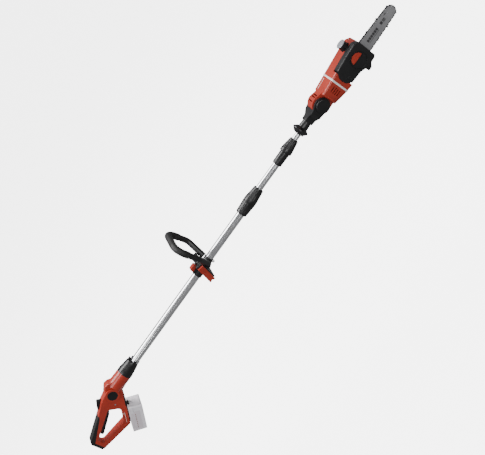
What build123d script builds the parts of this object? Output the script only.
from build123d import *
import math
import os

# Telescoping cordless pole saw, in millimetres.
# X runs along the pole towards the saw head, Z is up, Y is across.
# The origin is on the pole's axis, at the middle of the front handle's clamp.

# ---------------------------------------------------------------- driving sizes
# Pole: three tubes, one inside the other, each with two lengthwise keyways.
tube_wall = 1.5
lower_tube_radius = 14.0
middle_tube_radius = 12.0
upper_tube_radius = 10.0
keyway_depth = 0.8
keyway_radius = 3.0
keyway_angle = 22.0
lower_tube_rear = -530.0
lower_tube_front = 286.0
middle_tube_rear = -200.0
middle_tube_front = 494.0
upper_tube_rear = -100.0
upper_tube_front = 606.0
seat_gap = 0.05
slide_gap = 0.3
bush_gap = 0.1
bush_length = 26.0
bush_flange = 8.0

# Twist locks that clamp one tube in the next.
lower_lock_rear = 227.0
lower_lock_split = 274.0
lower_lock_front = 333.0
lower_lock_radius = 23.0
upper_lock_rear = 432.0
upper_lock_split = 480.0
upper_lock_front = 534.0
upper_lock_radius = 21.4
lock_nose_length = 18.0
lock_wall = 3.2
collet_slits = 6
grip_flutes = 18

# Rear handle: a D-shaped housing in two half shells.
handle_half_width = 17.0
handle_wall = 2.6
handle_edge_round = 5.0
neck_front = -473.0
neck_rear = -534.0
neck_front_radius = 27.4
neck_rear_radius = 28.0
neck_front_lift = 5.0
neck_rear_lift = 7.0
ferrule_lift = 5.0
ferrule_front = -420.0
ferrule_claw = 11.0
ferrule_rear_radius = 27.8
ferrule_front_radius = 22.5
hub_x = -560.0
hub_z = 2.0
hub_radius = 26.0
hub_half_width = 24.0
badge_radius = 18.5
badge_thickness = 3.0
grip_slope = 18.9
overmould_depth = 9.0
butt_x = -760.0
screw_radius = 3.4

# Trigger and lock-off button.
trigger_half_width = 7.0
trigger_pivot = (-634.0, -20.5)
trigger_pin_radius = 2.5
lock_off_half_width = 6.5

# Battery, which slides along a rail at 45 degrees under the handle.
battery_length = 110.0
battery_depth = 51.0
battery_half_width = 35.0
battery_wall = 2.5
battery_round = 7.0
battery_top_t = -456.0
rail_plane = -358.5
rail_stand_off = 2.5
rail_neck_half = 11.0
rail_flange_half = 16.0
rail_neck_depth = 5.0
rail_flange_depth = 4.0
rail_rear_t = -528.0
rail_gap = 0.4
cell_radius = 9.1
cell_length = 65.0
blade_count = 3
blade_pitch = 7.0

# Front loop handle, its sleeve on the pole and its pinch clamp.
sleeve_rear = -34.0
sleeve_front = 42.0
sleeve_radius = 16.8
eye_x = 37.0
eye_z = -20.0
eye_bore = 2.5
eye_lug_radius = 5.0
tower_rear = -31.0
tower_front = -1.5
clamp_lean = 15.0
clamp_plate_rear = -12.0
clamp_plate_front = 13.0
clamp_hub_radius = 22.5
clamp_slit = 2.0
clamp_boss_y = 38.0
loop_tube_radius = 10.6
loop_grip_radius = 12.2
loop_half_width = 71.5
loop_foot_half_width = 33.0
loop_height = 152.0
loop_corner_radius = 36.0
loop_bend_radius = 40.0
draw_bolt_radius = 3.0
draw_bolt_z = -32.0
lever_width = 21.0
lever_thickness = 8.0
lever_top = 32.0
lever_face_y = -54.5
lever_pin_radius = 2.5

# Knuckle between the pole and the head, with its tilt pivot.
pivot_x = 676.0
pivot_z = 4.0
knuckle_rear = 556.0
guard_radius = 28.5
guard_lift = 2.5
guard_x = 569.0
fork_half_width = 31.0
fork_gap_half = 22.0
cheek_radius = 27.0
drum_radius = 33.0
drum_gap = 0.8
pivot_bolt_radius = 5.0
tilt_knob_radius = 24.0
tilt_knob_y = -39.5

# Saw head: two red half shells, a black gear case and a cover.
head_near_y = -37.0
head_far_y = 40.0
head_wall = 2.6
head_round = 6.0
head_rear = 704.0
shell_front = 786.0
head_front = 905.0
band_x = 757.0
band_width = 6.0
band_proud = 0.8
case_near_y = -13.0
case_far_y = 14.0
case_wall = 3.0
cover_face_y = -40.0
cover_wall = 2.6

# Drive: motor along the pole, crown gear and sprocket across it.
motor_radius = 23.0
motor_rear = 712.0
motor_front = 752.0
rotor_radius = 12.5
motor_shaft_radius = 4.0
bearing_radius = 9.5
bearing_width = 6.0
pinion_teeth = 7
pinion_root = 3.0
pinion_tip = 5.2
gear_tooth_width = 1.1
crown_teeth = 28
crown_outer = 20.5
crown_inner = 14.5
crown_face_y = 6.2
crown_tooth_height = 2.8
sprocket_x = 826.0
output_shaft_radius = 5.0
sprocket_teeth = 7
sprocket_tip = 15.0
sprocket_root = 11.0
bar_y = -18.0

# Guide bar and chain.
bar_half_thickness = 2.2
bar_rear_x = 871.0
bar_rear_radius = 20.0
bar_belly_x = 902.0
bar_belly_radius = 24.0
bar_nose_x = 1040.0
bar_nose_radius = 18.5
chain_wrap_radius = 17.0
chain_height = 4.6
chain_half_thickness = 2.9
cutter_height = 2.2
cutter_pitch = 38.0
stud_x = 860.0
stud_radius = 4.0
nose_sprocket_teeth = 9

# Chain cover knob, oil cap and branch hook.
knob_radius = 27.5
knob_wing_radius = 21.5
knob_wing_z = 5.0
knob_face_y = -40.6
cap_x = 868.0
cap_y = 5.0
cap_radius = 16.5
cap_barrel_radius = 15.3
cap_top = 66.0
filler_radius = 12.0
filler_boss_radius = 17.0

os.makedirs("parts", exist_ok=True)


# ---------------------------------------------------------------- small helpers
def box(x0, x1, y0, y1, z0, z1):
    """A block between two corners."""
    return Pos((x0 + x1) / 2, (y0 + y1) / 2, (z0 + z1) / 2) * Box(x1 - x0, y1 - y0, z1 - z0)


def rod_x(radius, x0, x1, y=0.0, z=0.0):
    """A round bar along X."""
    return Pos((x0 + x1) / 2, y, z) * Rot(0, 90, 0) * Cylinder(radius, x1 - x0)


def rod_y(radius, y0, y1, x=0.0, z=0.0):
    """A round bar along Y."""
    return Pos(x, (y0 + y1) / 2, z) * Rot(90, 0, 0) * Cylinder(radius, y1 - y0)


def rod_z(radius, z0, z1, x=0.0, y=0.0):
    """A round bar along Z."""
    return Pos(x, y, (z0 + z1) / 2) * Cylinder(radius, z1 - z0)


def turned(points):
    """A solid turned about the X axis from (x, radius) points."""
    return revolve(make_face(Polyline(*points, close=True)), Axis.X)


def outline(points, radius=0.0):
    """A flat face from (x, z) points, with its corners rounded if a radius is given."""
    face = make_face(Polyline(*points, close=True))
    return fillet(face.vertices(), radius) if radius else face


def prism(face, y0, y1):
    """A face drawn in X and Z, thickened from y0 to y1."""
    return extrude(Plane.XZ.offset(-y1) * face, y1 - y0)


def sweep_side(solid, y, radius):
    """Rounds the edges of the flat side that lies at y."""
    side = solid.faces().filter_by(Axis.Y).filter_by(lambda f: abs(f.center().Y - y) < 0.01)
    return fillet(side.edges(), radius)


def ring_of(count, piece):
    """Copies of a piece around the X axis."""
    return [Rot(360.0 * k / count, 0, 0) * piece for k in range(count)]


def write(name, shape):
    """Writes one named piece."""
    export_step(shape, f"parts/{name}.step")


# ---------------------------------------------------------------- pole tubes
def keyed_circle(radius, groove):
    """A circle with two keyways, one on each side, a little above the middle."""
    face = Circle(radius)
    centre = radius + keyway_radius - keyway_depth + (groove - keyway_radius)
    for angle in (keyway_angle, 180 - keyway_angle):
        face -= Rot(0, 0, angle) * Pos(centre, 0) * Circle(groove)
    return face


def tube_section(radius):
    """The ring-shaped section of a tube whose wall follows its keyways."""
    outer = keyed_circle(radius, keyway_radius)
    inner = keyed_circle(radius - tube_wall, keyway_radius + tube_wall)
    return outer - inner


def pole_tube(radius, x0, x1):
    """One keyed tube of the pole."""
    return extrude(Plane.YZ.offset(x0) * tube_section(radius), x1 - x0)


def guide_bush(bore_radius, tube_radius, x_tube):
    """A plug in the rear end of a sliding tube, with a flange that runs in the tube outside it."""
    flange = keyed_circle(bore_radius - bush_gap, keyway_radius + tube_wall + bush_gap)
    solid = extrude(Plane.YZ.offset(x_tube - bush_flange) * flange, bush_flange)
    plug = keyed_circle(tube_radius - tube_wall - seat_gap, keyway_radius + tube_wall + seat_gap)
    solid += extrude(Plane.YZ.offset(x_tube) * plug, bush_length - bush_flange)
    return solid - rod_x(bore_radius * 0.45, x_tube - bush_flange - 1, x_tube + bush_length)


# ---------------------------------------------------------------- twist locks
def flute_cuts(x0, x1, r0, r1, depth):
    """Shallow lengthwise grooves on a cone that runs from radius r0 to radius r1."""
    length = math.hypot(x1 - x0, r1 - r0)
    tilt = math.degrees(math.atan2(r0 - r1, x1 - x0))
    radius = 0.13 * (r0 + r1)
    groove = Pos((x0 + x1) / 2, 0, (r0 + r1) / 2 + radius - depth) * Rot(0, 90 + tilt, 0)
    return ring_of(grip_flutes, groove * Cylinder(radius, length))


def lock_body(x_rear, x_split, tube_radius, inner_radius, r_rear, r_front, tube_end):
    """The fixed half of a twist lock, with a nose that the collar turns on."""
    nose_end = x_split + lock_nose_length
    nose_radius = tube_radius + lock_wall
    solid = turned([
        (x_rear, tube_radius + seat_gap), (x_rear, r_rear - 2), (x_rear + 2, r_rear),
        (x_split, r_front), (x_split, nose_radius), (nose_end, nose_radius),
        (nose_end, inner_radius + slide_gap), (tube_end, inner_radius + slide_gap),
        (tube_end, tube_radius + seat_gap),
    ])
    return solid


def lock_collar(x_split, x_front, r_rear, r_front, tube_radius, inner_radius):
    """The turning half of a twist lock: a grip with a cone inside."""
    x0 = x_split + slide_gap
    nose_end = x_split + lock_nose_length + 0.6
    bore = tube_radius + lock_wall + slide_gap
    cone_end = x_front - 4.0
    solid = turned([
        (x0, bore), (x0, r_rear - 1.0), (x0 + 1.5, r_rear), (x0 + 12, r_rear),
        (x_front - 2, r_front), (x_front, r_front - 1.5), (x_front, inner_radius + slide_gap),
        (cone_end, inner_radius + slide_gap), (cone_end, inner_radius + 1.6), (nose_end, bore - 0.9),
        (nose_end, bore),
    ])
    for cut in flute_cuts(x0 + 15, x_front - 5, r_rear, r_front + 0.8, 0.9):
        solid -= cut
    return solid


def lock_collet(x_split, x_front, tube_radius, inner_radius):
    """The split cone that the collar squeezes onto the sliding tube."""
    x0 = x_split + lock_nose_length + 1.2
    x1 = x_front - 5.0
    bore = tube_radius + lock_wall + slide_gap
    solid = turned([
        (x0, inner_radius + bush_gap), (x0, bore - 1.5), (x0 + 3, bore - 1.7),
        (x1, inner_radius + 1.2), (x1, inner_radius + bush_gap),
    ])
    slit = box(x0 + 4, x1 + 1, -0.5, 0.5, inner_radius - 2, bore + 2)
    for cut in ring_of(collet_slits, slit):
        solid -= cut
    return solid


def make_pole():
    """Tubes, guide bushes and both twist locks."""
    write("lower_tube", pole_tube(lower_tube_radius, lower_tube_rear, lower_tube_front))
    write("middle_tube", pole_tube(middle_tube_radius, middle_tube_rear, middle_tube_front))
    write("upper_tube", pole_tube(upper_tube_radius, upper_tube_rear, upper_tube_front))
    write("middle_tube_bush", guide_bush(lower_tube_radius - tube_wall, middle_tube_radius, middle_tube_rear))
    write("upper_tube_bush", guide_bush(middle_tube_radius - tube_wall, upper_tube_radius, upper_tube_rear))
    lower = lock_body(lower_lock_rear, lower_lock_split, lower_tube_radius, middle_tube_radius,
                      19.5, lower_lock_radius, lower_tube_front)
    for cut in flute_cuts(lower_lock_rear + 10, lower_lock_split - 4, 20.4, lower_lock_radius, 0.8):
        lower -= cut
    write("lower_lock_body", lower)
    write("lower_lock_collar", lock_collar(lower_lock_split, lower_lock_front, lower_lock_radius, 17.6,
                                           lower_tube_radius, middle_tube_radius))
    write("lower_lock_collet", lock_collet(lower_lock_split, lower_lock_front,
                                           lower_tube_radius, middle_tube_radius))
    upper = lock_body(upper_lock_rear, upper_lock_split, middle_tube_radius, upper_tube_radius,
                      16.6, 17.4, middle_tube_front)
    write("upper_lock_body", upper)
    write("upper_lock_collar", lock_collar(upper_lock_split, upper_lock_front, upper_lock_radius, 15.2,
                                           middle_tube_radius, upper_tube_radius))
    write("upper_lock_collet", lock_collet(upper_lock_split, upper_lock_front,
                                           middle_tube_radius, upper_tube_radius))


# ---------------------------------------------------------------- rear handle
handle_points = [
    (-500, 20), (-521, 32), (-530, 40), (-545, 43), (-556, 37), (-571, 26), (-607, 18.5), (-655, -2), (-764, -39.5),
    (-773, -50), (-773, -96), (-765, -102), (-634, -127), (-545, -38), (-527, -20), (-500, -18),
]
opening_points = [
    (-622, -20), (-601, -48), (-598, -57), (-603, -67), (-638, -101), (-740, -89), (-748, -83), (-746, -60),
]


def neck_solid(shrink):
    """The round neck that holds the pole, made smaller all round by shrink."""
    front = Plane.YZ.offset(neck_front) * Pos(0, neck_front_lift) * Circle(neck_front_radius - shrink)
    rear = Plane.YZ.offset(neck_rear) * Pos(0, neck_rear_lift) * Circle(neck_rear_radius - shrink)
    return loft([front, rear])


def handle_solid():
    """The outside of the whole rear handle, with its hand opening."""
    body = prism(outline(handle_points, 4.0), -handle_half_width, handle_half_width)
    body = sweep_side(body, handle_half_width, handle_edge_round - 1.2)
    body = sweep_side(body, -handle_half_width, handle_edge_round - 1.2)
    body += rod_y(hub_radius, -hub_half_width, hub_half_width, hub_x, hub_z)
    body += neck_solid(0)
    opening = prism(outline(opening_points, 4.0), -handle_half_width - 9, handle_half_width + 9)
    return body - opening


def handle_cavity():
    """The hollow inside the rear handle."""
    inside = handle_half_width - handle_wall
    outer = offset(outline(handle_points, 4.0), -handle_wall, kind=Kind.INTERSECTION)
    hole = offset(outline(opening_points, 4.0), handle_wall, kind=Kind.INTERSECTION)
    hollow = prism(outer - hole, -inside, inside)
    hollow += rod_y(hub_radius - handle_wall, -hub_half_width + handle_wall,
                    hub_half_width - handle_wall, hub_x, hub_z)
    hollow += neck_solid(handle_wall)
    bore = lower_tube_radius + seat_gap
    hollow += rod_x(bore, lower_tube_rear, neck_front + 1)
    return hollow


def along_grip(point, along, up):
    """A point moved along the grip's slope and square to it."""
    slope = math.radians(grip_slope)
    return (point[0] - along * math.cos(slope) - up * math.sin(slope),
            point[1] - along * math.sin(slope) + up * math.cos(slope))


def overmould_region():
    """The band along the back of the grip that is soft rubber."""
    start = (-656.0, -2.5)
    points = [
        along_grip(start, 0, 6), along_grip(start, 6, -overmould_depth + 3),
        along_grip(start, 20, -overmould_depth), (butt_x, -58.0), (butt_x, -20.0),
    ]
    return prism(outline(points), -handle_half_width - 2, handle_half_width + 2)


def butt_region():
    """The end of the handle that the butt cap takes."""
    return box(butt_x - 14, butt_x, -handle_half_width - 2, handle_half_width + 2, -108, -20)


def rail_frame(solid):
    """Places a piece drawn with X along the battery rail and Z square to it, facing out and down."""
    return Rot(0, -45, 0) * solid


def cradle_solid():
    """The black foot that carries the battery: a plug in the handle, a T rail and a head plate."""
    top = -rail_plane
    face = top - rail_stand_off
    half = handle_half_width - 3.5
    rail_front_t = battery_top_t - 2.0
    plug = box(rail_rear_t - 2, rail_front_t, -half, half, face, top + 5.0)
    head = box(rail_front_t, -409, 0.1 - handle_half_width, handle_half_width - 0.1, face, face + 8.5)
    neck = box(rail_rear_t, rail_front_t, -rail_neck_half, rail_neck_half, face - rail_neck_depth, face)
    flange = box(rail_rear_t, rail_front_t, -rail_flange_half, rail_flange_half,
                 face - rail_neck_depth - rail_flange_depth, face - rail_neck_depth)
    return rail_frame(plug + head + neck + flange)


def make_rear_handle():
    """Housing shells, grip rubber, butt cap, ferrule, socket, badges and screws."""
    outside = handle_solid()
    soft = overmould_region()
    butt = butt_region()
    cradle = cradle_solid()
    hollow = handle_cavity()
    rubber = outside & soft
    rubber -= butt
    write("grip_rubber", rubber)
    cap = (outside & butt) - box(butt_x - 9, butt_x - 4, -11, 11, -90, -52)
    write("butt_cap", cap)
    shell = outside - hollow - soft - butt - cradle
    slot_half = trigger_half_width + 0.6
    slot = outline([(-618, -12), (-646, -15), (-734, -46), (-734, -70), (-620, -36)])
    shell -= prism(slot, -slot_half, slot_half)
    x, z = trigger_pivot
    for side in (-1, 1):
        y = side * handle_half_width
        y0, y1 = sorted((y - side * 1.5, side * (slot_half + 0.4)))
        shell += rod_y(trigger_pin_radius + 2.5, y0, y1, x, z) & outside
        shell -= rod_y(trigger_pin_radius + seat_gap, *sorted((y - side * 3.0, side * slot_half)), x, z)
    lock_slot = lock_off_half_width + 0.5
    shell -= prism(outline([(-601, 10), (-601, 30), (-640, 24), (-640, -6)]), -lock_slot, lock_slot)
    seat = badge_thickness - 0.6
    for side in (-1, 1):
        y = side * hub_half_width
        shell -= rod_y(badge_radius + 0.05, min(y, y - side * seat), max(y, y - side * seat), hub_x, hub_z)
    screws = []
    for x, z, side in ((-590, -31, -1), (-650, -112, 1), (-735, -98, 1), (-563, -29, 1)):
        face_y = side * handle_half_width
        under_y = face_y - side * 2.0
        shell += rod_y(screw_radius + 1.6, *sorted((under_y, 0.5 * side - face_y)), x, z) & outside
        shell -= rod_y(screw_radius + 0.6, *sorted((face_y + side, under_y)), x, z)
        shell -= rod_y(1.5 + seat_gap, *sorted((face_y, -9.0 * side)), x, z)
        head = rod_y(screw_radius, *sorted((face_y - side * 0.2, under_y)), x, z)
        screws.append(head + rod_y(1.5, *sorted((under_y, -8.0 * side)), x, z))
    write("handle_shell_near", split(shell, Plane.XZ, keep=Keep.TOP))
    write("handle_shell_far", split(shell, Plane.XZ, keep=Keep.BOTTOM))
    write("handle_screws", Compound(screws))
    write("battery_cradle", cradle)
    badges = []
    for side in (-1, 1):
        y0 = side * (hub_half_width - seat)
        y1 = side * (hub_half_width + 0.6)
        badges.append(rod_y(badge_radius, min(y0, y1), max(y0, y1), hub_x, hub_z))
    write("hub_badges", Compound(badges))


def make_ferrule():
    """The black ferrule in front of the neck, with the socket that the pole is clamped in."""
    r = lower_tube_radius + seat_gap
    ferrule = turned([
        (neck_front, 0), (neck_front, ferrule_rear_radius), (neck_front + 8, ferrule_rear_radius),
        (ferrule_front - 6, ferrule_front_radius), (ferrule_front, ferrule_front_radius - 2), (ferrule_front, 0),
    ])
    claw = box(ferrule_front - 2, ferrule_front + ferrule_claw, -4.5, 4.5, ferrule_front_radius - 5.5,
               ferrule_front_radius - 1.5)
    for piece in ring_of(4, claw):
        ferrule += piece
    ferrule = Pos(0, 0, ferrule_lift) * ferrule
    socket_radius = neck_front_radius - handle_wall - neck_front_lift
    ferrule += rod_x(socket_radius, lower_tube_rear + 3, neck_front)
    ferrule -= rod_x(r, lower_tube_rear + 2, ferrule_front + ferrule_claw + 1)
    write("neck_ferrule", ferrule)


# ---------------------------------------------------------------- trigger and lock-off
trigger_points = [
    (-621, -10), (-640, -12), (-648, -22), (-716, -46), (-721, -55), (-721, -64), (-716, -68), (-640, -40),
    (-628, -33), (-624, -24),
]


def make_trigger():
    """The long paddle under the grip, the switch that it works, and the lock-off button with its spring."""
    x, z = trigger_pivot
    paddle = prism(outline(trigger_points, 2.0), -trigger_half_width, trigger_half_width)
    paddle += rod_y(trigger_pin_radius, -handle_half_width + 3.2, handle_half_width - 3.2, x, z)
    write("trigger", paddle)
    switch = box(-612, -584, -9, 9, -24, -4) + rod_x(2.5, -619, -612, 0, -14)
    switch += box(-630, -612, -9, 9, -7, -4)
    write("power_switch", switch)
    h = lock_off_half_width
    button = prism(outline([(-603.5, 8), (-603.5, 21), (-610, 31), (-615, 31), (-637, 13), (-637, 2)], 1.5), -h, h)
    button += box(-632, -608, -h - 2.5, h + 2.5, 0, 5)
    write("lock_off_button", button)
    write("lock_off_spring", rod_z(3.0, -4.0, -0.1, -621, 0) - rod_z(2.0, -7, 1, -621, 0))


# ---------------------------------------------------------------- battery
def battery_box(inset, deep0, deep1):
    """A block of the battery, inset all round, between two depths below its top plane."""
    top = -rail_plane - rail_stand_off
    t1 = battery_top_t - inset
    t0 = t1 - battery_length + 2 * inset
    w = battery_half_width - inset
    return box(t0, t1, -w, w, top - deep1, top - deep0)


def make_battery():
    """Case halves, cells, contact clips and the two latch buttons."""
    top = -rail_plane - rail_stand_off
    split_depth = 18.0
    block = battery_box(0, 0.4, battery_depth)
    corners = block.edges().filter_by(Axis.Z) + block.edges().filter_by(Axis.Y).group_by(Axis.Z)[0]
    block = fillet(corners, battery_round)
    slot_floor = rail_neck_depth + rail_flange_depth + rail_gap
    t1 = battery_top_t + 1
    slot_end = rail_rear_t - 1.0
    slot = box(slot_end, t1, -rail_neck_half - rail_gap, rail_neck_half + rail_gap, top - slot_floor, top + 1)
    slot += box(slot_end, t1, -rail_flange_half - rail_gap, rail_flange_half + rail_gap,
                top - slot_floor, top - rail_neck_depth + rail_gap)
    hollow = battery_box(battery_wall, slot_floor + battery_wall, battery_depth - battery_wall)
    latch_slots = []
    latches = []
    for side in (-1, 1):
        y_out = side * (battery_half_width + 1.0)
        y_in = side * (battery_half_width - 9.0)
        y0, y1 = min(y_out, y_in), max(y_out, y_in)
        t = battery_top_t - 17.0
        latch_slots.append(box(t - 11, t + 11, y0 - 3.2, y1 + 3.2, top - 15.5, top - 5.5))
        tab = box(t - 10.6, t + 10.6, y0, y1, top - 15.1, top - 5.9)
        latches.append(tab)
    blade_slots = [
        box(battery_top_t - 22, battery_top_t + 1, y - 1.5, y + 1.5, top - 16, top - slot_floor + 0.5)
        for y in blade_positions()
    ]
    case = block - slot - hollow
    for cut in latch_slots + blade_slots:
        case -= cut
    big = 200.0
    lower_half = box(-700, -300, -big, big, top - big, top - split_depth)
    upper_half = box(-700, -300, -big, big, top - split_depth, top + big)
    write("battery_case_top", rail_frame(case & upper_half))
    write("battery_case_base", rail_frame(case & lower_half))
    write("battery_latch_near", rail_frame(latches[0]))
    write("battery_latch_far", rail_frame(latches[1]))
    pitch = 2 * cell_radius + 0.05
    depth_low = battery_depth - battery_wall - cell_radius - 0.05
    depth_high = depth_low - pitch * math.sqrt(3) / 2
    t0 = battery_top_t - battery_length + battery_wall + 1.0
    rows = [(-pitch, depth_low), (0.0, depth_low), (pitch, depth_low), (-pitch / 2, depth_high),
            (pitch / 2, depth_high)]
    cells = [rod_x(cell_radius, t0, t0 + cell_length, y, top - d) for y, d in rows]
    write("battery_cells", rail_frame(Compound(cells)))
    t2 = battery_top_t - 2.0
    blades = [box(t2 - 14, t2, y - 0.5, y + 0.5, top - 14.5, top - 9.5) for y in blade_positions()]
    write("cradle_blades", rail_frame(Compound(blades)))


def blade_positions():
    """Where the contact blades stand across the rail."""
    return [blade_pitch * (k - (blade_count - 1) / 2) for k in range(blade_count)]


# ---------------------------------------------------------------- front handle
def lean(solid):
    """Leans a piece drawn upright, so that its top is nearer the saw head."""
    return Rot(0, clamp_lean, 0) * solid


def loop_path(start_z):
    """The centre line of the loop handle, cut off at start_z on each arm if that is above its foot."""
    top_x = 25.0
    elbow = (37.0, loop_half_width, 68.0)
    foot = (28.0, loop_foot_half_width, 4.0)
    corner = (top_x, loop_half_width, loop_height)
    share = (start_z - elbow[2]) / (loop_height - elbow[2])
    arm = (elbow[0] + share * (top_x - elbow[0]), loop_half_width, start_z)
    side = [foot, elbow, corner] if start_z <= foot[2] else [arm, corner]
    mirrored = [(x, -y, z) for x, y, z in side]
    points = mirrored + side[::-1]
    radii = [loop_bend_radius, loop_corner_radius, loop_corner_radius, loop_bend_radius]
    return FilletPolyline(*points, radius=radii if len(points) == 6 else loop_corner_radius)


def swept_bar(path, radius, bore=0.0):
    """A round bar, or a tube if it has a bore, along a path."""
    section = Circle(radius) - Circle(bore) if bore else Circle(radius)
    return sweep(Plane(path @ 0, z_dir=path % 0) * section, path)


def make_front_handle():
    """Sleeve, pinch clamp, loop, draw bolt, cam lever and the sleeve's release button."""
    r = lower_tube_radius
    sleeve = rod_x(sleeve_radius, sleeve_rear, sleeve_front) - rod_x(r + bush_gap, sleeve_rear - 1, sleeve_front + 1)
    sleeve += rod_y(eye_lug_radius, -3, 3, eye_x, eye_z) + box(eye_x - 4.5, sleeve_front, -3, 3, eye_z, -14)
    sleeve += box(tower_rear, tower_front, -11.5, 11.5, 8, 23)
    sleeve -= rod_x(r + bush_gap, sleeve_rear - 1, sleeve_front + 1)
    sleeve -= rod_y(eye_bore, -8, 8, eye_x, eye_z)
    sleeve -= box(tower_rear + 2, tower_front - 2, -9.5, 9.5, 17.2, 24)
    write("handle_sleeve", sleeve)
    button = box(tower_rear + 2.4, tower_front - 2.4, -9.1, 9.1, 21, 36)
    button = fillet(button.edges().filter_by(Axis.Y).group_by(Axis.Z)[-1], 5.0)
    write("sleeve_button", button)
    spring_x = (tower_rear + tower_front) / 2
    spring = rod_z(4.0, 17.2, 20.9, spring_x, 0) - rod_z(2.8, 15, 22, spring_x, 0)
    write("sleeve_button_spring", spring)

    front_view = [
        (-43.5, 38), (-43.5, -8), (-30, -42), (30, -42), (43.5, -8), (43.5, 38), (31, 38), (20, 20), (-20, 20),
        (-31, 38),
    ]
    plate_face = fillet(make_face(Polyline(*front_view, close=True)).vertices(), 3.0)
    plate = lean(extrude(Plane.YZ.offset(clamp_plate_rear) * plate_face, clamp_plate_front - clamp_plate_rear))
    clamp = plate + rod_x(clamp_hub_radius, -10, 18)
    clamp += lean(rod_y(8.0, -clamp_boss_y, clamp_boss_y, 0, draw_bolt_z))
    clamp -= box(-60, tower_front + 1, -12.5, 12.5, 10, 60)
    clamp -= rod_x(sleeve_radius + seat_gap, -60, 60)
    clamp -= box(-60, 60, -clamp_slit / 2, clamp_slit / 2, -60, 0)
    clamp -= lean(rod_y(draw_bolt_radius + 0.2, -60, 60, 0, draw_bolt_z))
    path = loop_path(0)
    loop = swept_bar(path, loop_tube_radius)
    clamp -= loop
    write("clamp_body", clamp)
    write("loop_frame", loop)
    grip = swept_bar(loop_path(104), loop_grip_radius, loop_tube_radius + seat_gap)
    write("loop_grip", grip)
    half = lever_width / 2
    hub_y = lever_face_y + lever_thickness / 2 + 1.0
    bolt = rod_y(draw_bolt_radius, hub_y, clamp_boss_y + 9, 0, draw_bolt_z)
    bolt += rod_x(lever_pin_radius, 1 - half, half - 1, hub_y, draw_bolt_z)
    nut = rod_y(6.5, clamp_boss_y + 0.05, clamp_boss_y + 6, 0, draw_bolt_z)
    nut -= rod_y(draw_bolt_radius + 0.02, 30, 60, 0, draw_bolt_z)
    write("draw_bolt", Compound([lean(bolt), lean(nut)]))
    lever = box(-half, half, lever_face_y, lever_face_y + lever_thickness, draw_bolt_z, lever_top)
    lever += rod_x(lever_thickness / 2 + 1.0, -half, half, hub_y, draw_bolt_z)
    lever -= rod_x(lever_pin_radius + seat_gap, 0.5 - half, half - 0.5, hub_y, draw_bolt_z)
    reach = draw_bolt_radius + 0.5
    lever -= box(-reach, reach, hub_y - 1, lever_face_y + 30, draw_bolt_z - 20, draw_bolt_z + reach)
    lever -= box(-reach, reach, lever_face_y - 1, lever_face_y + 30, draw_bolt_z - 20, draw_bolt_z)
    for k in (-1, 0, 1):
        lever -= box(4.8 * k - 1.2, 4.8 * k + 1.2, lever_face_y - 1, lever_face_y + 1.0, 4, lever_top - 6)
    write("clamp_lever", lean(lever))


# ---------------------------------------------------------------- knuckle
def make_knuckle():
    """Fork on the pole's end with its branch guard, pivot bolt and tilt knob."""
    side = make_face(Polyline(
        (604, -14), (604, 15), (620, 16), (634, 18.5), (650, 22), (664, 29), (676, 31), (676, -23), (664, -20),
        (650, -17.5), (629, -15.5), (616, -15), close=True))
    side += Pos(pivot_x, pivot_z) * Circle(cheek_radius)
    plan = make_face(Polyline(
        (604, -15.5), (621, -17), (637, -fork_half_width), (710, -fork_half_width), (710, fork_half_width),
        (637, fork_half_width), (621, 17), (604, 15.5), close=True))
    fork = prism(side, -fork_half_width, fork_half_width) & extrude(Pos(0, 0, -60) * plan, 120)
    fork += turned([(knuckle_rear, 0), (knuckle_rear, 16.8), (knuckle_rear + 2, 17.4), (578, 16.9),
                    (612, 15.6), (612, 0)])
    fork += Pos(0, 0, guard_lift) * turned([
        (558, 0), (558, 18.0), (guard_x, guard_radius), (guard_x + 3, guard_radius), (581, 17.6), (581, 0)])
    fork -= rod_x(upper_tube_radius + seat_gap, knuckle_rear - 1, upper_tube_front)
    gap = rod_y(drum_radius + drum_gap, -fork_gap_half, fork_gap_half, pivot_x, pivot_z)
    gap += box(pivot_x, pivot_x + 60, -fork_gap_half, fork_gap_half, -60, 60)
    fork -= gap
    fork -= rod_y(pivot_bolt_radius + seat_gap, -60, 60, pivot_x, pivot_z)
    write("knuckle_fork", fork)
    bolt = rod_y(pivot_bolt_radius, tilt_knob_y + 4, fork_half_width + 4, pivot_x, pivot_z)
    bolt += rod_y(10.0, fork_half_width, fork_half_width + 4, pivot_x, pivot_z)
    write("pivot_bolt", bolt)
    knob = rod_y(tilt_knob_radius, tilt_knob_y, -fork_half_width - 0.3, pivot_x, pivot_z)
    knob = fillet(knob.edges().group_by(Axis.Y)[0], 3.0)
    for k in range(12):
        a = math.radians(30 * k)
        r = tilt_knob_radius + 2.4
        knob -= rod_y(3.4, -60, 0, pivot_x + r * math.cos(a), pivot_z + r * math.sin(a))
    knob -= rod_y(pivot_bolt_radius + seat_gap, tilt_knob_y + 3.8, 0, pivot_x, pivot_z)
    write("tilt_knob", knob)


# ---------------------------------------------------------------- saw head
head_points = [
    (head_rear, 29), (760, 34.5), (855, 45), (890, 46.5), (head_front, 36), (head_front, -33),
    (shell_front, -39), (750, -35.5), (head_rear, -27),
]
cover_points = [
    (792, 38), (855, 45), (890, 46.5), (head_front, 36), (head_front, -39), (850, -39), (834, -32.5),
    (792, -30.5), (778, -14), (775.5, 2), (778, 18),
]


def tongue_face(grow):
    """The round tongue at the rear of the head, which turns between the fork's cheeks."""
    face = Pos(pivot_x, pivot_z) * Circle(drum_radius + grow)
    face += make_face(Polyline(
        (pivot_x, 36 + grow), (head_rear + 12, 29 + grow), (head_rear + 12, -27 - grow), (pivot_x, -28 - grow),
        close=True))
    return face


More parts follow.
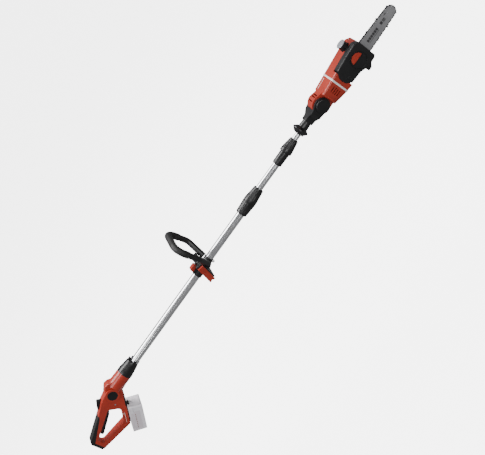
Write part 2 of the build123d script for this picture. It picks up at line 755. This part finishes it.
def head_solid(grow):
    """The outside of the saw head, made larger all round by grow."""
    face = offset(outline(head_points, 3.0), grow) if grow else outline(head_points, 3.0)
    body = prism(face, head_near_y - grow, head_far_y + grow)
    body = sweep_side(body, head_near_y - grow, head_round)
    body = sweep_side(body, head_far_y + grow, head_round + 2)
    return body + prism(tongue_face(grow), -fork_gap_half + 0.6, fork_gap_half - 0.6)


def head_cavity():
    """The hollow inside the saw head."""
    face = offset(outline(head_points, 3.0), -head_wall, kind=Kind.INTERSECTION)
    hollow = prism(face, head_near_y + head_wall, head_far_y - head_wall)
    inside = fork_gap_half - 0.6 - head_wall
    hollow += prism(tongue_face(-head_wall), -inside, inside)
    return hollow - rod_y(10.0, -40, 40, pivot_x, pivot_z)


def vent_cuts():
    """Cooling slots: a row in the near and far walls, and three across the top of the tongue."""
    cuts = []
    for z in (-12.5, -4, 4.5, 13):
        cuts.append(box(727, 748, -50, -30, z - 1.6, z + 1.6))
        cuts.append(box(727, 748, 32, 50, z - 1.6, z + 1.6))
    for x in (668, 683, 691):
        cuts.append(box(x - 1.8, x + 1.8, -14, 14, 28, 50))
    return cuts


def make_head_shells():
    """Two red half shells and the pale band round them."""
    outside = head_solid(0)
    groove = box(band_x, band_x + band_width, -60, 60, -60, 60)
    shell = outside - head_cavity()
    shell -= rod_y(pivot_bolt_radius + seat_gap, -60, 60, pivot_x, pivot_z)
    for cut in vent_cuts():
        shell -= cut
    shell -= groove & (outside - head_solid(-1.2))
    band = (head_solid(band_proud) - head_solid(-1.15)) & groove
    write("head_band", band)
    cover_clear = prism(offset(outline(cover_points, 4.0), 0.6), -60, case_near_y)
    near = shell & box(600, shell_front - 0.2, -60, 0, -80, 80)
    near -= cover_clear
    far = shell & (box(600, 950, 0, 60, -80, 80) + box(shell_front - 0.2, 950, case_near_y + 0.1, 60, -80, 80))
    far -= rod_z(filler_boss_radius + 0.3, 30, 60, cap_x, cap_y - 2)
    write("head_shell_near", near)
    write("head_shell_far", far)


def make_gear_case():
    """The black gear case with its oil tank and motor mount, and the bar stud."""
    face = offset(outline(head_points, 3.0), -head_wall - 0.1, kind=Kind.INTERSECTION)
    case = prism(face, case_near_y, case_far_y) & box(shell_front, 950, -60, 60, -80, 80)
    gear_room = prism(outline([(shell_front + case_wall, -30), (shell_front + case_wall, 32), (848, 36),
                               (848, -30)], 3.0), case_near_y + case_wall, case_far_y - case_wall)
    gear_room -= rod_y(bearing_radius + 2.0, -20, case_near_y + 8.5, sprocket_x, 0)
    gear_room += rod_y(bearing_radius + seat_gap, case_near_y + 1.5, case_near_y + 9, sprocket_x, 0)
    tank_room = prism(outline([(853, -27), (853, 38), (884, 40), (899, 31), (899, -27)], 3.0),
                      case_near_y + case_wall, case_far_y - case_wall)
    case += rod_y(bearing_radius + 3, case_far_y - 1, case_far_y + 5, sprocket_x, 0)
    boss = rod_z(filler_boss_radius, 36, 47.5, cap_x, cap_y - 2) & box(800, 950, case_near_y, 60, 30, 60)
    case += boss + rod_z(filler_radius, 42, 57, cap_x, cap_y)
    neck_radius = bearing_radius + case_wall
    case += rod_x(motor_radius + 2.6, motor_front - 14, 770) + rod_x(neck_radius, 769, shell_front + 1)
    case -= rod_x(motor_radius + seat_gap, 700, motor_front + 1) + rod_x(motor_radius - 4, motor_front, 766)
    case -= gear_room
    case -= tank_room
    case -= rod_z(filler_radius - 3, 34, 60, cap_x, cap_y)
    case -= rod_y(bearing_radius + seat_gap, case_far_y - 1.5, case_far_y + 6, sprocket_x, 0)
    case -= rod_y(output_shaft_radius + slide_gap, case_near_y - 2, case_far_y + 6, sprocket_x, 0)
    case -= rod_y(stud_radius + seat_gap, case_near_y - 1, case_near_y + 2.0, stud_x, 0)
    case -= rod_x(motor_shaft_radius + 1.0, 760, 800)
    case -= rod_x(bearing_radius + seat_gap, shell_front - 3, shell_front + 8)
    write("gear_case", case)
    write("bar_stud", rod_y(stud_radius, -31, case_near_y + 2.0, stud_x, 0))


def make_motor():
    """Motor can, rotor with its pinion, bearings, crown gear shaft and drive sprocket."""
    can = rod_x(motor_radius, motor_rear, motor_front) - rod_x(rotor_radius + 0.6, motor_rear + 3, motor_front + 1)
    can -= rod_x(bearing_radius + seat_gap, motor_rear - 1, motor_rear + 4)
    write("motor_can", can)
    shaft = rod_x(motor_shaft_radius, motor_rear - 4, 804) + rod_x(rotor_radius, motor_rear + 9, motor_front - 3)
    shaft += rod_x(pinion_root, 803, 813)
    tooth = box(804, 813, -gear_tooth_width / 2, gear_tooth_width / 2, 0, pinion_tip)
    for k in range(pinion_teeth):
        shaft += Rot(360.0 * k / pinion_teeth - 90, 0, 0) * tooth
    write("motor_rotor", shaft)
    bearings = []
    for x in (motor_rear - 2, shell_front - 3):
        bearings.append(rod_x(bearing_radius, x, x + bearing_width) - rod_x(motor_shaft_radius + seat_gap, x - 1, x + 9))
    for y in (case_near_y + 1.5, case_far_y - 1.5):
        bearing = rod_y(bearing_radius, y, y + bearing_width, sprocket_x, 0)
        bearings.append(bearing - rod_y(output_shaft_radius + seat_gap, y - 1, y + 9, sprocket_x, 0))
    write("drive_bearings", Compound(bearings))
    gear = rod_y(output_shaft_radius, -30, case_far_y + 4.4, sprocket_x, 0)
    gear += rod_y(crown_outer + 0.8, crown_face_y, crown_face_y + 4, sprocket_x, 0)
    rib = box(crown_inner, crown_outer, crown_face_y - crown_tooth_height, crown_face_y + 0.5,
              -gear_tooth_width / 2, gear_tooth_width / 2)
    for k in range(crown_teeth):
        gear += Pos(sprocket_x, 0, 0) * Rot(0, 360.0 * (k + 0.5) / crown_teeth, 0) * rib
    write("crown_gear_shaft", gear)
    star = make_star(sprocket_teeth, sprocket_root, sprocket_tip)
    sprocket = prism(star, -3, 3)
    sprocket = Pos(sprocket_x, bar_y, 0) * sprocket
    sprocket -= rod_y(output_shaft_radius + seat_gap, -60, 20, sprocket_x, 0)
    write("drive_sprocket", sprocket)


def make_star(teeth, root, tip):
    """A toothed wheel's outline, with blunt teeth."""
    points = []
    for k in range(teeth):
        for part, radius in ((0.0, root), (0.3, root), (0.42, tip), (0.58, tip), (0.7, root)):
            a = 2 * math.pi * (k + part) / teeth
            points.append((radius * math.cos(a), radius * math.sin(a)))
    return make_face(Polyline(*points, close=True))


def rail_face(grow, rear_x, rear_radius):
    """The convex outline round the bar's rear, belly and nose, made larger by grow."""
    rings = [(rear_x, rear_radius), (bar_belly_x, bar_belly_radius), (bar_nose_x, bar_nose_radius)]
    edges = [(Pos(x, 0) * Circle(r + grow)).edge() for x, r in rings]
    return make_hull(edges)


def make_bar():
    """Guide bar with its slot and nose sprocket, and the chain that runs round it."""
    plate = prism(rail_face(0, bar_rear_x, bar_rear_radius), bar_y - bar_half_thickness, bar_y + bar_half_thickness)
    slot = box(858, 880, -40, 0, -4.2, 4.2) + rod_y(4.2, -40, 0, 858, 0) + rod_y(4.2, -40, 0, 880, 0)
    plate -= slot
    pocket = rod_y(bar_nose_radius + 1, bar_y - 0.9, bar_y + 0.9, bar_nose_x, 0)
    pocket -= rod_y(3.0, -40, 0, bar_nose_x, 0)
    plate -= pocket
    write("guide_bar", plate)
    nose = prism(make_star(nose_sprocket_teeth, 13.0, 17.4), -0.75, 0.75)
    nose = Pos(bar_nose_x, bar_y, 0) * (nose - rod_y(3.05, -5, 5))
    write("nose_sprocket", nose)
    wrap = (sprocket_x, chain_wrap_radius)
    inner = rail_face(0.02, *wrap)
    outer = rail_face(chain_height, *wrap)
    write("chain_band", prism(outer - inner, bar_y - chain_half_thickness, bar_y + chain_half_thickness))
    loop = outer.face().outer_wire()
    count = round(loop.length / cutter_pitch)
    cutters = []
    for k in range(count):
        spot = loop @ (k / count)
        along = loop % (k / count)
        out = Vector(along.Y, -along.X, 0)
        if out.dot(spot - Vector(940, 0, 0)) < 0:
            out = out * -1
        base = [(-6, 0.0), (-6, cutter_height), (3, cutter_height * 0.8), (6, 0.0)]
        corners = [spot + along * t + out * h for t, h in base]
        tooth = make_face(Polyline(*[(c.X, c.Y) for c in corners], close=True))
        cutters.append(prism(tooth, bar_y - chain_half_thickness, bar_y + 1.0))
    write("chain_cutters", Compound(cutters))


def make_cover():
    """Chain cover, its knob with a folding wing, and the branch hook under it."""
    face = outline(cover_points, 4.0)
    cover = prism(face, cover_face_y, case_near_y)
    cover = sweep_side(cover, cover_face_y, 2.5)
    room = offset(face, -cover_wall, kind=Kind.INTERSECTION)
    cover -= prism(room, cover_face_y + cover_wall, case_near_y)
    cover -= box(head_front - 6, head_front + 5, cover_face_y + cover_wall, case_near_y, -36, 34)
    floor_y = knob_face_y + 5.7
    cover += rod_y(knob_radius + 3, floor_y - 4, floor_y + cover_wall, stud_x, 0) & prism(face, cover_face_y, 0)
    cover -= rod_y(knob_radius + 0.7, -50, floor_y, stud_x, 0)
    cover -= rod_y(7.4, -50, -20, stud_x, 0)
    write("chain_cover", cover)
    knob = rod_y(knob_radius, knob_face_y, floor_y - 0.3, stud_x, 0)
    knob += rod_y(7.0, floor_y - 0.3, bar_y - bar_half_thickness - 0.1, stud_x, 0)
    knob -= rod_y(stud_radius + seat_gap, -32, 0, stud_x, 0)
    above = box(800, 900, -60, -30, knob_wing_z - 2.4, 60)
    knob -= rod_y(knob_wing_radius + 0.5, -50, knob_face_y + 4.2, stud_x, knob_wing_z) & above
    write("cover_knob", knob)
    above = box(800, 900, -60, -30, knob_wing_z, 60)
    wing = rod_y(knob_wing_radius, knob_face_y + 0.2, knob_face_y + 3.8, stud_x, knob_wing_z) & above
    wing += rod_x(1.8, stud_x - 18, stud_x + 18, knob_face_y + 2.0, knob_wing_z)
    write("knob_wing", wing)
    hook = outline([(852, -39), (854, -56), (858, -58), (868, -57), (880, -46), (899, -44), (903, -39)], 1.0)
    write("branch_hook", prism(hook, -34, -20))


def make_oil_cap():
    """The oil cap: a black ribbed barrel with a pale disc let into its top."""
    barrel = rod_z(cap_barrel_radius, 48.5, cap_top - 3, cap_x, cap_y)
    barrel -= rod_z(filler_radius + slide_gap, 48, 58.5, cap_x, cap_y)
    for k in range(16):
        a = 2 * math.pi * k / 16
        r = cap_barrel_radius + 0.9
        barrel -= rod_z(1.6, 40, 70, cap_x + r * math.cos(a), cap_y + r * math.sin(a))
    write("oil_cap", barrel)
    disc = rod_z(cap_radius, cap_top - 3, cap_top, cap_x, cap_y)
    write("oil_cap_disc", fillet(disc.edges().group_by(Axis.Z)[-1], 1.2))


make_pole()
make_rear_handle()
make_ferrule()
make_trigger()
make_battery()
make_front_handle()
make_knuckle()
make_head_shells()
make_gear_case()
make_motor()
make_bar()
make_cover()
make_oil_cap()
